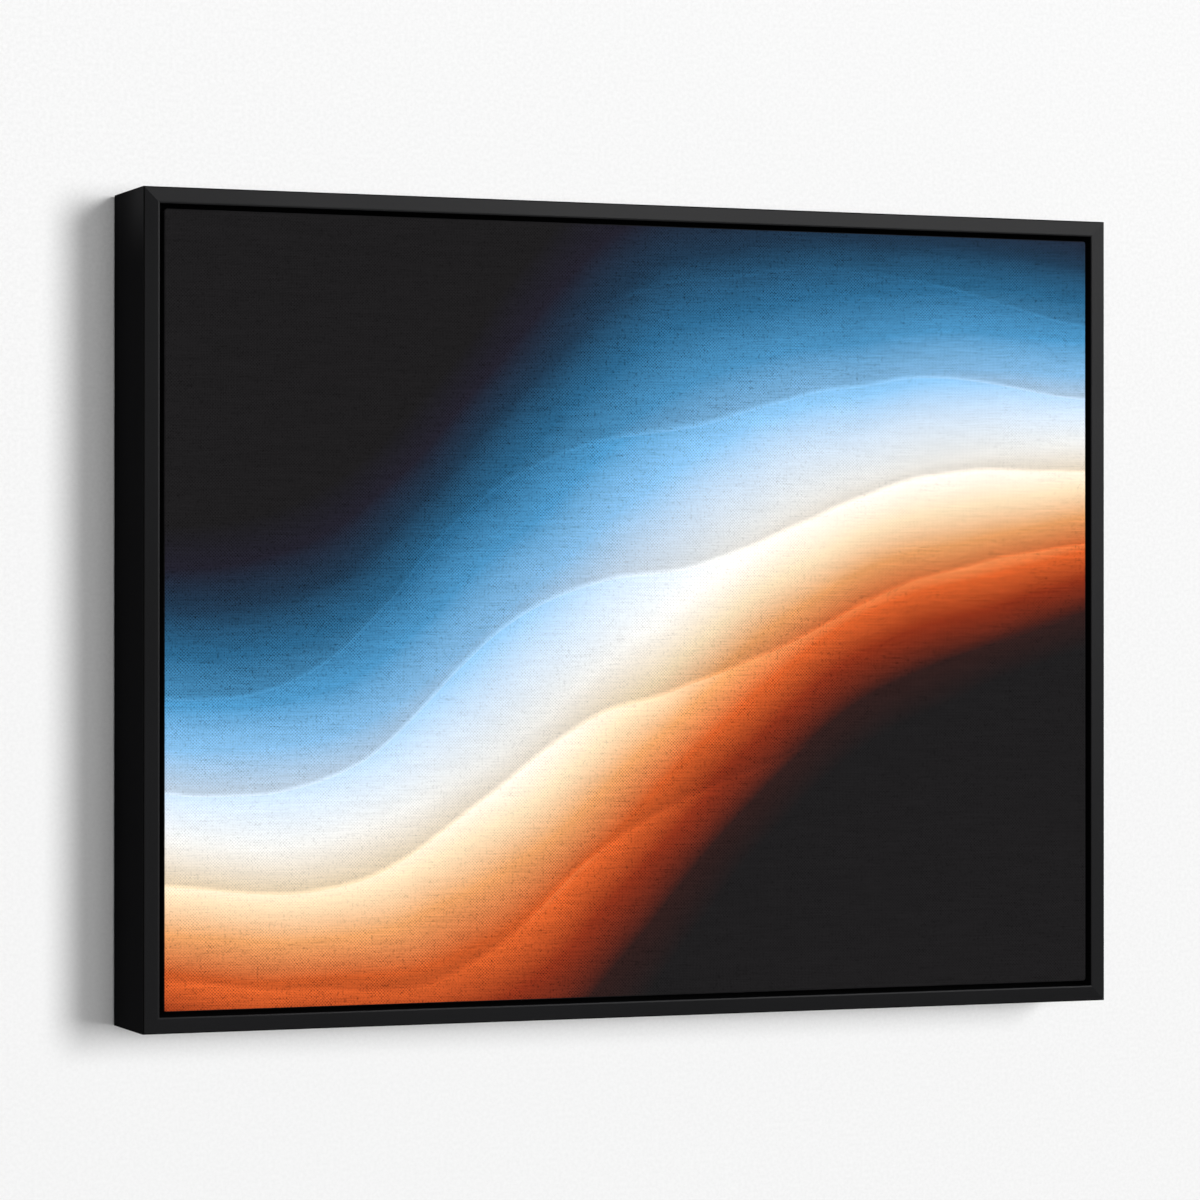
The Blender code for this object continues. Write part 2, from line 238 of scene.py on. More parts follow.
def weave(s):
    """Plain weave with uneven threads.

    Returns its height, how bright each spot of it is with painted light and shade on the crossings and in
    the pits, and the streaks of its level and upright threads.
    """
    x, _, z = s.xyz()
    turn = math.tau / (2 * WEAVE)
    bend = s.mul(s.sub(s.noise(90.0, detail=2.0), 0.5), 0.0012)
    across, along = s.add(x, bend), s.add(z, bend)
    warp = s.math("ABSOLUTE", s.math("SINE", s.mul(across, turn)))
    weft = s.math("ABSOLUTE", s.math("SINE", s.mul(along, turn)))
    over = s.math("SINE", s.math("MULTIPLY_ADD", across, turn, math.pi / 2))
    under = s.math("SINE", s.math("MULTIPLY_ADD", along, turn, math.pi / 2))
    side = s.step(s.mul(over, under), -0.25, 0.25)
    height = s.add(s.mul(warp, side), s.mul(weft, s.sub(1.0, side)))
    # Uneven threads: short streaks along each thread's direction, thick and thin by patches
    level = s.noise(1.0, s.scaled((60, 260, 1900)), detail=3.0, rough=0.7)
    upright = s.noise(1.0, s.scaled((1900, 260, 220), (7, 3, 5)), detail=2.0, rough=0.6)
    patch = s.step(s.noise(110.0, detail=2.0), 0.38, 0.62, 0.2, 1.0)
    # Painted shade in the pits where threads cross, darker still in some of them, and a few long dark
    # slubs
    pit_shading = s.mul(s.sub(1.0, warp), s.sub(1.0, weft))
    deep_pit_shading = s.step(s.noise(1000.0, detail=2.0, rough=0.7), 0.52, 0.72)
    slub = s.step(s.noise(1.0, s.scaled((150, 200, 2100), (3, 8, 1)), detail=1.0), 0.64, 0.74)
    # Painted light and shade: crossings where the upright threads lie on top are lighter, the others
    # darker
    shaded_checks = s.mul(s.mul(s.sub(side, 0.5), CHECK_SHADE), patch)
    streaks = s.add(s.step(level, 0.3, 0.7, -STREAKS, STREAKS),
                    s.step(upright, 0.3, 0.7, -UPRIGHT_STREAKS, UPRIGHT_STREAKS))
    shade_and_slubs = s.total(s.mul(pit_shading, PIT_SHADE), s.mul(deep_pit_shading, DEEP_PIT_SHADE), s.mul(slub, SLUBS))
    return height, s.sub(s.total(1.07, shaded_checks, streaks), shade_and_slubs), level, upright


# Colours across the ribbon, from below it to above it, where 0 is its middle
RIBBON_REACH = 1.2
RIBBON = [
    (-1.10, (24, 23, 24)), (-0.92, (44, 25, 23)), (-0.74, (140, 48, 22)),
    (-0.58, (214, 96, 42)), (-0.42, (240, 166, 104)), (-0.26, (253, 228, 190)),
    (-0.08, (255, 253, 248)), (0.10, (214, 232, 250)), (0.28, (140, 196, 240)),
    (0.46, (76, 148, 196)), (0.64, (42, 102, 142)), (0.82, (27, 54, 78)),
    (0.98, (29, 28, 40)), (1.15, (24, 23, 24)),
]


def print_colour(s):
    """A generic soft ribbon of waves, dark in two corners, from rust through white to deep blue."""
    x, _, z = s.xyz()
    x, z = s.mul(x, 10.0), s.mul(z, 10.0)
    # Distance from a wavy middle line, square to its slope, in shares of the ribbon's half width
    middle = s.add(s.wave(x, 0.78, 0.0, 0.85), s.wave(x, 2.1, 0.7, 0.10))
    slope = s.add(s.wave(x, 0.78, math.pi / 2, 0.663), s.wave(x, 2.1, 0.7 + math.pi / 2, 0.21))
    stretch = s.math("SQRT", s.math("MULTIPLY_ADD", slope, slope, 1.0))
    half = s.add(s.wave(x, 0.9, 1.9, 0.22), 0.95)
    across = s.math("DIVIDE", s.math("DIVIDE", s.sub(z, middle), stretch), half)
    drift = s.mul(s.sub(s.noise(9.0, detail=2.0), 0.5), 0.16)
    across = s.add(across, drift)
    # Folds along the ribbon, each shaded from its dark lower edge to a bright crest
    skew = s.mul(s.math("SINE", s.add(s.mul(x, 2.7), s.mul(z, 1.3))), 0.18)
    folds = s.total(s.mul(across, 2.6), s.wave(x, 1.1, -0.4, 0.55), skew)
    saw = s.math("FRACT", folds)
    soft = s.math("MULTIPLY_ADD", s.math("POWER", saw, 0.75), 0.46, 0.62)
    edge = s.step(saw, 0.0, 0.05)
    fold = s.add(s.mul(soft, edge), s.mul(s.sub(1.0, edge), 1.08))
    amount = s.step(s.math("ABSOLUTE", across), 1.15, 0.35, 0.0, 0.75)
    shade = s.math("MULTIPLY_ADD", s.sub(fold, 1.0), amount, 1.0)
    moved = s.math("MULTIPLY_ADD", s.sub(saw, 0.5), s.mul(amount, 0.05), across)
    value = s.math("MULTIPLY_ADD", moved, 0.5 / RIBBON_REACH, 0.5, clamp=True)
    colour = s.ramp(value, [(at / (2 * RIBBON_REACH) + 0.5, rgb(*c)) for at, c in RIBBON])
    return s.blend(1.0, colour, s.grey(shade), "MULTIPLY")


def printed_cloth():
    """Matt inkjet canvas: the print in front, black round the edges, bare primer on the flaps."""
    s = Shader("printed_canvas", rough=0.82, level=0.07)
    height, tone, level, upright = weave(s)
    ink = print_colour(s)
    # Dark ink shows the weave more than pale ink does
    lightness = s.node("ShaderNodeRGBToBW", {"Color": ink}).outputs[0]
    strength = s.step(lightness, 0.0, 0.8, 2.2, 0.72)
    tone = s.math("MULTIPLY_ADD", s.sub(tone, 1.0), strength, 1.0)
    ink = s.blend(1.0, ink, s.grey(tone), "MULTIPLY")
    # The sides are black, and the ink ends a little way in on the back, in an uneven line
    inset = s.inset(CANVAS_X, CANVAS_Z)
    black = s.blend(s.step(level, 0.3, 0.7), rgb(20, 20, 21), rgb(30, 29, 30))
    ink = s.blend(s.step(inset, 0.0003, 0.0001), ink, black)
    behind = s.step(s.xyz()[1], CANVAS_BACK - 0.003, CANVAS_BACK - 0.0025)
    ragged = s.mul(s.sub(s.noise(120.0, detail=3.0), 0.5), 0.0012)
    bare = s.mul(behind, s.step(s.add(inset, ragged), 0.0030, 0.0034))
    primer = s.blend(s.step(level, 0.3, 0.7), rgb(222, 220, 212), rgb(240, 238, 232))
    s.set("Base Color", s.blend(bare, s.blend(behind, ink, black), primer))
    s.bump(height, 0.00016, 0.55)
    s.bump(s.add(level, s.mul(upright, 0.5)), 0.00010, 0.15)
    return s.material


def raw_cloth():
    """Unprimed cotton on the inside of the sheet."""
    s = Shader("raw_canvas", rough=0.9, level=0.1, Sheen_Weight=0.15, Sheen_Roughness=0.5)
    height, bright, level, upright = weave(s)
    # The tone follows the thread streaks, with painted shade making the threads' low parts a little
    # darker
    tone = s.total(s.mul(level, 0.5), s.mul(upright, 0.4), s.mul(height, 0.12))
    colour = s.ramp(tone, [(0.25, rgb(196, 186, 164)), (0.5, rgb(221, 212, 190)),
                           (0.75, rgb(236, 228, 208))])
    husk = s.step(s.noise(420.0, detail=1.0), 0.74, 0.79)
    colour = s.blend(s.mul(husk, 0.55), colour, rgb(150, 124, 84))
    s.set("Base Color", s.blend(1.0, colour, s.grey(bright), "MULTIPLY"))
    s.bump(height, 0.00018, 0.6)
    s.bump(s.add(level, upright), 0.00014, 0.4)
    return s.material


def timber(name, lengthways, pale, dark, rings=1.0, knots=True):
    """Planed softwood or beech with its grain along one axis."""
    s = Shader(name, level=0.3)
    long = {"X": (5, 60, 60), "Z": (60, 60, 5)}[lengthways]
    body = s.noise(1.0, s.scaled(tuple(c * rings for c in long)), detail=3.0, twist=0.6)
    bands = s.math("FRACT", s.mul(body, 9.0))
    late = s.mul(s.step(bands, 0.45, 0.92), s.step(bands, 1.0, 0.93))
    fine = s.noise(1.0, s.scaled(tuple(c * 22 for c in long)), detail=2.0)
    colour = s.blend(s.mul(late, 0.55), rgb(*pale), rgb(*dark))
    colour = s.blend(s.step(fine, 0.35, 0.75, 0.0, 0.35), colour, rgb(*dark))
    patch = s.noise(14.0, detail=2.0)
    colour = s.blend(s.step(patch, 0.35, 0.7, 0.0, 0.22), colour, rgb(232, 196, 142))
    if knots:
        cells = s.node("ShaderNodeTexVoronoi", {"Vector": s.place, "Scale": 16.0})
        knot = s.step(cells.outputs["Distance"], 0.10, 0.05)
        colour = s.blend(s.mul(knot, 0.75), colour, rgb(112, 66, 34))
    s.set("Base Color", colour)
    s.set("Roughness", s.step(fine, 0.3, 0.7, 0.55, 0.72))
    s.bump(fine, 0.00012, 0.5)
    s.bump(late, 0.00004, 0.4)
    return s.material


def metal(name, colour, dull, rough):
    """Plated steel with cloudy dulling and fine scratches."""
    s = Shader(name, metal=1.0)
    cloud = s.noise(240.0, detail=3.0)
    scratch = s.noise(1.0, s.scaled((400, 400, 6000)), detail=1.0)
    s.set("Base Color", s.blend(s.step(cloud, 0.35, 0.7), rgb(*colour), rgb(*dull)))
    s.set("Roughness", s.add(s.step(cloud, 0.3, 0.7, rough, rough + 0.16),
                             s.step(scratch, 0.55, 0.7, 0.0, 0.08)))
    s.bump(scratch, 0.00002, 0.3)
    return s.material


def rubber():
    """Black rubber with dust in its pores."""
    s = Shader("black_rubber", level=0.35)
    grain = s.noise(1500.0, detail=2.0)
    dust = s.step(s.noise(300.0, detail=3.0), 0.45, 0.8, 0.0, 0.25)
    s.set("Base Color", s.blend(dust, rgb(24, 24, 25), rgb(70, 68, 66)))
    s.set("Roughness", s.step(grain, 0.3, 0.7, 0.7, 0.86))
    s.bump(grain, 0.00004, 0.5)
    return s.material


def plaster(name, tone, glow=0.0):
    """Pale matt paint on the wall, floor and room, a little darker towards the bottom as painted shade,
    clear when seen from behind.
    """
    s = Shader(name, rough=0.95, level=0.05)
    grain = s.noise(700.0, detail=3.0, rough=0.6)
    cloud = s.noise(1.3, detail=2.0)
    dark, even, pale = ((tone * share,) * 3 + (1.0,) for share in (0.955, 1.0, 1.035))
    colour = s.blend(s.step(grain, 0.25, 0.75), dark, pale)
    colour = s.blend(s.step(cloud, 0.3, 0.7, 0.0, 0.35), colour, even)
    # Painted shade: the paint grows a little darker towards the bottom
    painted_falloff = s.step(s.xyz()[2], -0.4, 0.4, 0.962, 0.995)
    s.set("Base Color", s.blend(1.0, colour, s.grey(painted_falloff), "MULTIPLY"))
    s.bump(grain, 0.00006, 0.5)
    s.set("Emission Color", (1, 1, 1, 1))
    s.set("Emission Strength", glow)
    clear = s.node("ShaderNodeBsdfTransparent").outputs[0]
    behind = s.node("ShaderNodeNewGeometry").outputs["Backfacing"]
    mixed = s.node("ShaderNodeMixShader", {"Fac": behind, 1: s.bsdf.outputs[0], 2: clear})
    out = next(n for n in s.tree.nodes if n.type == "OUTPUT_MATERIAL")
    s.tree.links.new(mixed.outputs[0], out.inputs["Surface"])
    return s.material


# Black paints: on the rails' faces, on what is dull (with painted light near the top front of the outer
# sides), on the outer front corner (darker, as painted shade), and behind
SATIN = lacquer("black_satin", 0.033, 0.21, (21, 21, 22), (24, 24, 25))
MATT = lacquer("black_matt", 0.0, 0.80, (21, 21, 22), (25, 25, 26), painted_light=(50, 50, 51))
ARRIS_SHADE = lacquer("black_arris_shade", 0.02, 0.60, (6, 6, 6), (9, 9, 9))
REVERSE = lacquer("black_reverse", 0.35, 0.46, (27, 27, 28), (36, 36, 37), worn=(104, 96, 88))
PRINT = printed_cloth()
RAW = raw_cloth()
PINE = {way: timber(f"pine_{name}", way, (226, 190, 136), (186, 134, 78))
        for way, name in (("X", "level"), ("Z", "upright"))}
BEECH = {way: timber(f"beech_{name}", way, (222, 184, 138), (190, 140, 92), 1.6, knots=False)
         for way, name in (("X", "level"), ("Z", "upright"))}
ZINC = metal("zinc_plate", (206, 204, 196), (168, 166, 160), 0.30)
NICKEL = metal("nickel_plate", (214, 212, 208), (188, 186, 182), 0.18)
STEEL = metal("staple_wire", (196, 196, 196), (150, 150, 150), 0.26)
RUBBER = rubber()


# CAD nodes that stay as they are, with their real finish

def paint_node(name, material):
    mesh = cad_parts[name].data
    mesh.materials.clear()
    mesh.materials.append(material)
    for face in mesh.polygons:
        face.material_index = 0
    mesh.shade_smooth()
    mesh.set_sharp_from_angle(angle=math.radians(32))


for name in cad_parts:
    if name.startswith("bar_"):
        paint_node(name, PINE["X" if name in ("bar_top", "bar_bottom") else "Z"])
    elif name.startswith("key_"):
        paint_node(name, BEECH["X" if name.endswith("_a") else "Z"])
    elif name.startswith(("fixing_screw", "strap_screw")):
        paint_node(name, ZINC)
    elif name.startswith("bumper_"):
        paint_node(name, RUBBER)


# Shapes

def smooth_shade(obj, smooth):
    """Smooth shading with sharp edges over this many degrees, and true normals on flat faces."""
    obj.data.shade_smooth()
    obj.data.set_sharp_from_angle(angle=math.radians(smooth))
    flat = obj.modifiers.new("flat_faces", "WEIGHTED_NORMAL")
    flat.keep_sharp = True


def finish_mesh(bm, name, materials, smooth=35):
    bmesh.ops.recalc_face_normals(bm, faces=bm.faces)
    mesh = bpy.data.meshes.new(name)
    bm.to_mesh(mesh)
    bm.free()
    for material in materials:
        mesh.materials.append(material)
    obj = bpy.data.objects.new(name, mesh)
    bpy.context.scene.collection.objects.link(obj)
    smooth_shade(obj, smooth)
    return obj


def fillet(points, steps=6):
    """An outline of (u, v, radius) points with each corner rounded by its radius."""
    outline = []
    for i, (u, v, radius) in enumerate(points):
        here = Vector((u, v))
        if not radius:
            outline.append(here)
            continue
        before = (Vector(points[i - 1][:2]) - here).normalized()
        after = (Vector(points[(i + 1) % len(points)][:2]) - here).normalized()
        half = before.angle(after) / 2
        centre = here + (before + after).normalized() * (radius / math.sin(half))
        first = (here + before * (radius / math.tan(half)) - centre).normalized()
        last = (here + after * (radius / math.tan(half)) - centre).normalized()
        for k in range(steps + 1):
            outline.append(centre + first.slerp(last, k / steps) * radius)
    return outline


def arc(radius, start, end, steps):
    """Points round the origin from one angle to another, in degrees."""
    angles = [math.radians(start + (end - start) * k / steps) for k in range(steps + 1)]
    return [(radius * math.cos(a), radius * math.sin(a)) for a in angles]


def loft(bm, loops):
    """Quads between closed loops of points that have the same count. Returns the loops' vertices."""
    rows = [[bm.verts.new(p) for p in loop] for loop in loops]
    for row, after in zip(rows, rows[1:]):
        for i in range(len(row)):
            k = (i + 1) % len(row)
            bm.faces.new((row[i], row[k], after[k], after[i]))
    return rows


def solid_loft(bm, loops):
    """A loft that is closed by a face at each end."""
    rows = loft(bm, loops)
    bm.faces.new(rows[0])
    bm.faces.new(rows[-1])


def sweep(bm, path, radius, flat, sides, closed=False):
    """A round wire along a path that lies in the plane whose normal is flat."""
    loops = []
    for i, point in enumerate(path):
        before = path[i - 1] if closed or i else point
        after = path[(i + 1) % len(path)] if closed or i < len(path) - 1 else point
        out = (after - before).normalized().cross(flat).normalized()
        angles = [math.tau * k / sides for k in range(sides)]
        loops.append([point + (out * math.cos(a) + flat * math.sin(a)) * radius for a in angles])
    if closed:
        rows = loft(bm, loops + loops[:1])
        bmesh.ops.remove_doubles(bm, verts=rows[0] + rows[-1], dist=1e-7)
    else:
        solid_loft(bm, loops)


def turned(name, profile, at, materials, steps=48):
    """A solid turned about Y from (radius, y) points whose ends lie on the axis."""
    bm = bmesh.new()
    verts = [bm.verts.new((r, y, 0)) for r, y in profile]
    edges = [bm.edges.new(pair) for pair in zip(verts, verts[1:])]
    bmesh.ops.spin(bm, geom=verts + edges, cent=(0, 0, 0), axis=(0, 1, 0),
                   angle=math.tau, steps=steps, use_merge=True)
    bmesh.ops.remove_doubles(bm, verts=bm.verts, dist=1e-6)
    bmesh.ops.translate(bm, verts=bm.verts, vec=at)
    return finish_mesh(bm, name, materials)


def cut_holes(obj, profile, places, paint, smooth=35):
    """Cuts a turned hole at each place into the mesh itself."""
    shade_and_slubs = [turned("hole", profile, at, [paint], 32) for at in places]
    for hole in shade_and_slubs:
        cut = obj.modifiers.new("hole", "BOOLEAN")
        cut.operation, cut.solver, cut.object = "DIFFERENCE", "EXACT", hole
    obj.modifiers.remove(obj.modifiers["flat_faces"])
    graph = bpy.context.evaluated_depsgraph_get()
    mesh = bpy.data.meshes.new_from_object(obj.evaluated_get(graph))
    obj.modifiers.clear()
    obj.data = mesh
    smooth_shade(obj, smooth)
    for hole in shade_and_slubs:
        bpy.data.objects.remove(hole, do_unlink=True)


# Frame rails with tight mitres: satin on the face and lip, dead matt elsewhere

# A rail's section, as distance in from its outer edge, depth from its front, and corner radius.
# The face leans outwards from just inside the lip, which has its own small rounding.
LEAN, EASED, ARRIS_ROUND, BACK_ROUND = math.radians(4.2), 0.0007, 0.0005, 0.0004
RAIL = [
    (0, (FACE - EASED) * math.tan(LEAN), ARRIS_ROUND),
    (FACE - EASED, 0.00005, 0.002),
    (FACE, 0.00015, 0.0003),
    (FACE, DEPTH - LEDGE_THICK, 0),
    (LEDGE, DEPTH - LEDGE_THICK, 0),
    (LEDGE, DEPTH, BACK_ROUND),
    (0, DEPTH, BACK_ROUND),
]
RAIL_CUTS, MITRE_AIR, VEE = 24, 0.00001, 0.0002
RAIL_PAINTS = (SATIN, MATT, ARRIS_SHADE, REVERSE)
FIX_ALONG = {"top": 0.105, "right": 0.074, "bottom": 0.105, "left": 0.074}

# Countersunk hole of a fixing screw, as radius and how far behind the rail's back, or below 0 into it
FIX_HEAD, FIX_SEAT, FIX_CORE, FIX_DEPTH = 0.0042, 0.0037, 0.0018, 0.012
FIX_HOLE = [(0, 0.003), (FIX_HEAD, 0.003), (FIX_SEAT, 0), (FIX_CORE, -0.0019), (FIX_CORE, -FIX_DEPTH),
            (0, -FIX_DEPTH)]


def rail_loops(reach):
    """The section at many places along a rail, sheared to the mitres, with a fine V behind each mitre."""
    outline = fillet(RAIL, 8)
    near_end = VEE / reach
    shares = [0.0, near_end] + [k / RAIL_CUTS for k in range(1, RAIL_CUTS)] + [1 - near_end, 1.0]
    loops = []
    for t in shares:
        dip = VEE if t in (0.0, 1.0) else 0.0
        loop = []
        for u, v in outline:
            lowered = v - (dip if v > DEPTH / 2 + LEDGE_THICK else 0)
            loop.append(Vector(((reach - u) * (2 * t - 1), lowered, -u)))
        loops.append(loop)
    return loops


def rail_paint(face, reach):
    """The paint of a rail's face."""
    along, depth, z = face.calc_center_median()
    inset = -z
    if len(face.verts) == 4 and depth < 0.001:
        # The outer front rounding gets the darker paint, as painted shade along that edge
        return ARRIS_SHADE if inset < ARRIS_ROUND * 0.9 else SATIN
    if depth > DEPTH - LEDGE_THICK - 0.0001 and inset > 0.0002:
        in_vee = abs(along) > reach - inset - VEE
        return MATT if in_vee else REVERSE
    return MATT


for side, (angle, (x, z), length) in SIDES.items():
    reach = length / 2 - MITRE_AIR
    bm = bmesh.new()
    solid_loft(bm, rail_loops(reach))
    for face in bm.faces:
        face.material_index = RAIL_PAINTS.index(rail_paint(face, reach))
    place = Matrix.Translation((x, FRONT, z)) @ Matrix.Rotation(angle, 4, "Y")
    bmesh.ops.transform(bm, matrix=place, verts=bm.verts)
    rail = finish_mesh(bm, f"frame_{side}", RAIL_PAINTS)
    spots = [on_side(side, FIX_FROM_EDGE, along) for along in (-FIX_ALONG[side], FIX_ALONG[side])]
    cut_holes(rail, FIX_HOLE, [(hx, BACK, hz) for hx, hz in spots], MATT)
    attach(rail, "frame")
    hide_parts(f"rail_{side}")


# Canvas: one sheet over the front, round the sides and folded in behind

# The cloth stands this far out from its solid
OVER = 0.00015
EDGE, BACK_EDGE, CORNER = 0.0007, 0.0008, 0.0013
CUTS_X, CUTS_Z, CORNER_CUTS, EDGE_CUTS, BACK_CUTS = 56, 42, 4, 5, 4
FRONT_INSETS = (0.120, 0.080, 0.050, 0.032, 0.022, 0.015, 0.010, 0.0065, 0.004, 0.0018)
FLAP_INSETS = (0.004, 0.009, 0.0145, FLAP - 0.0002)
INNER_INSETS = (0.004, 0.010, 0.022, 0.050, 0.120)


def cloth_loop(inset, y, lift=None):
    """A rounded rectangle this far in from the canvas's outer edge, as points in order."""
    half_x, half_z = CANVAS_X + OVER - inset, CANVAS_Z + OVER - inset
    corner = max(CORNER - inset, 0.0002)
    points = []
    for sx, sz, start, half, cuts in ((1, 1, 0, half_x, CUTS_X), (-1, 1, 90, half_z, CUTS_Z),
                                      (-1, -1, 180, half_x, CUTS_X), (1, -1, 270, half_z, CUTS_Z)):
        centre = Vector((sx * (half_x - corner), sz * (half_z - corner)))
        for k in range(CORNER_CUTS + 1):
            a = math.radians(start + 90 * k / CORNER_CUTS)
            points.append(centre + Vector((math.cos(a), math.sin(a))) * corner)
        last = points[-1]
        onwards = math.radians(start + 90) + math.pi / 2
        run = Vector((math.cos(onwards), math.sin(onwards)))
        straight = 2 * (half - corner)
        points += [last + run * (straight * k / cuts) for k in range(1, cuts)]
    return [Vector((p.x, y + (lift(p) if lift else 0), p.y)) for p in points]


def pull(p):
    """Faint ripples where the staples draw the cloth tight, dying out away from the edge."""
    from_x, from_z = CANVAS_X - abs(p.x), CANVAS_Z - abs(p.y)
    near, along = (from_x, p.y) if from_x < from_z else (from_z, p.x)
    pitch, height, dies_over, starts_over = 0.044, 0.00006, 0.010, 0.004
    ripple = math.cos(math.tau * along / pitch) * math.exp(-near / dies_over)
    return height * ripple * min(1.0, near / starts_over)


def outer_loops():
    """From the middle of the front, over the edges, to the end of the flap behind."""
    loops = [cloth_loop(inset, CANVAS_FRONT, pull) for inset in FRONT_INSETS]
    for k in range(EDGE_CUTS + 1):
        a = math.radians(90 * k / EDGE_CUTS)
        loops.append(cloth_loop(EDGE * (1 - math.sin(a)), CANVAS_FRONT + EDGE * (1 - math.cos(a))))
    for share in (0.25, 0.5, 0.75):
        loops.append(cloth_loop(0.0, CANVAS_FRONT + (CANVAS_BACK - CANVAS_FRONT) * share))
    for k in range(BACK_CUTS + 1):
        a = math.radians(90 * k / BACK_CUTS)
        inset = BACK_EDGE * (1 - math.cos(a))
        loops.append(cloth_loop(inset, CANVAS_BACK - BACK_EDGE * (1 - math.sin(a))))
    loops += [cloth_loop(inset, CANVAS_BACK) for inset in FLAP_INSETS]
    loops.append(cloth_loop(FLAP, CANVAS_BACK - 0.0002))
    return loops


def inner_loops():
    """Back from the end of the flap along the inside of the cloth."""
    back_y, front_y = CANVAS_BACK - CLOTH, CANVAS_FRONT + CLOTH
    loops = [cloth_loop(inset, y) for inset, y in (
        (FLAP, back_y), (0.004, back_y), (CLOTH + 0.0002, back_y),
        (CLOTH, CANVAS_BACK - CLOTH - 0.0002), (CLOTH, front_y + 0.0003), (CLOTH + 0.0003, front_y),
    )]
    loops += [cloth_loop(inset, front_y, pull) for inset in INNER_INSETS]
    return loops


CLOTH_FACES = (PRINT, RAW)
inside = CLOTH_FACES.index(RAW)
outer, inner = outer_loops(), inner_loops()
bm = bmesh.new()
rows = loft(bm, outer + inner)
for face in list(bm.faces)[len(outer) * len(outer[0]):]:
    face.material_index = inside
bm.faces.new(rows[0])
bm.faces.new(rows[-1]).material_index = inside
canvas = finish_mesh(bm, "stretched_canvas", CLOTH_FACES, 50)
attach(canvas, "frame")
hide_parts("canvas")

# Folded corners: the spare cloth lies over the flap as a second layer with a slanting fold
FOLD = [Vector(p) for p in ((0.0099, 0.0099), (0.0196, 0.0196), (0.0345, 0.0197), (0.0300, 0.0099))]
FOLD_LOW, FOLD_HIGH, FOLD_ROUND = CANVAS_BACK + 0.00002, CANVAS_BACK + 0.00052, 0.00022
for corner, (sx, sz) in CORNERS.items():
    middle = Vector((sum(p.x for p in FOLD) / 4, sum(p.y for p in FOLD) / 4))
    loops = []
    for y, shrink in ((FOLD_LOW, 0.0), (FOLD_LOW + 0.0003, 0.0), (FOLD_HIGH, FOLD_ROUND)):
        drawn_in = [p - (p - middle).normalized() * shrink for p in FOLD]
        loops.append([Vector((sx * (CANVAS_X - p.x), y, sz * (CANVAS_Z - p.y))) for p in drawn_in])
    bm = bmesh.new()
    solid_loft(bm, loops)
    fold = finish_mesh(bm, f"canvas_fold_{corner}", [PRINT], 50)
    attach(fold, "frame")


# Staples along the flaps

STAPLE_COUNT = {"top": 9, "right": 7, "bottom": 9, "left": 7}
STAPLE_HALF, STAPLE_WIRE, STAPLE_FROM_EDGE, STAPLE_FROM_CORNER = 0.0052, 0.0003, 0.0235, 0.047

# One arm of a staple, as distance from its middle and height over the cloth
STAPLE_ARM = [(STAPLE_HALF / 2, 0.00001), (STAPLE_HALF - 0.0003, 0.00004),
              (STAPLE_HALF - 0.0001, 0.0), (STAPLE_HALF, -0.0001), (STAPLE_HALF, -0.0006)]
STAPLE = [(-a, b) for a, b in reversed(STAPLE_ARM)] + [(0, 0)] + STAPLE_ARM

dice = random.Random(7)
for side, (_, _, length) in SIDES.items():
    outwards, sideways = side_ways(side)
    bm = bmesh.new()
    span = length / 2 - STAPLE_FROM_CORNER
    count = STAPLE_COUNT[side]
    for k in range(count):
        along = -span + 2 * span * k / (count - 1) + dice.uniform(-0.003, 0.003)
        x, z = on_side(side, STAPLE_FROM_EDGE + dice.uniform(-0.0006, 0.0006), along)
        tilt = math.radians(dice.uniform(-5, 5))
        run = sideways * math.cos(tilt) + outwards * math.sin(tilt)
        run, flat = Vector((run.x, 0, run.y)), Vector((-run.y, 0, run.x))
        here = Vector((x, CANVAS_BACK + 0.00028, z))
        path = [here + run * a + Vector((0, 1, 0)) * b for a, b in STAPLE]
        sweep(bm, path, STAPLE_WIRE, flat, 8)
    staples = finish_mesh(bm, f"staples_{side}", [STEEL], 60)
    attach(staples, "frame")


# Thin V-shaped nails pressed across the mitres, flush with the back of the frame

NAIL_INSETS = {"a": 0.0038, "b": 0.0146}
NAIL_REACH, NAIL_THICK, NAIL_IN = 0.0024, 0.00035, 0.0004
NAIL = [(-NAIL_REACH, NAIL_IN), (-NAIL_REACH, NAIL_IN + NAIL_THICK), (0, NAIL_THICK * 1.2),
        (NAIL_IN + NAIL_THICK, -NAIL_REACH), (NAIL_IN, -NAIL_REACH), (0, 0)]
for corner, (sx, sz) in CORNERS.items():
    for letter, inset in NAIL_INSETS.items():
        outline = [(sx * (WIDTH / 2 - inset - a), sz * (HEIGHT / 2 - inset - b)) for a, b in NAIL]
        bm = bmesh.new()
        solid_loft(bm, [[Vector((x, y, z)) for x, z in outline]
                        for y in (BACK - 0.0004, BACK + 0.00006)])
        nail = finish_mesh(bm, f"nail_{corner}_{letter}", [STEEL], 30)
        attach(nail, "frame")


# Ring hangers, in the places of their CAD solids

CURL_IN, CURL_OUT = 0.0013, 0.0023
STRAP, STRAP_HALF, STRAP_DROP = 0.0010, 0.0045, 0.0135
STRAP_ROUND, STRAP_HOLE, STRAP_HOLE_DROP = 0.00018, 0.0017, 0.008
RING_REACH, RING_STRAIGHT, RING_ROUND, RING_WIRE = 0.0075, 0.0045, 0.0016, 0.001

# The strap's thickness, as depth and how far its outline draws in, with the seam of its two layers
STRAP_LEVELS = ((0, STRAP_ROUND), (STRAP_ROUND, 0), (0.00044, 0), (0.0005, 0.0001), (0.00056, 0),
                (STRAP - STRAP_ROUND, 0), (STRAP, STRAP_ROUND))


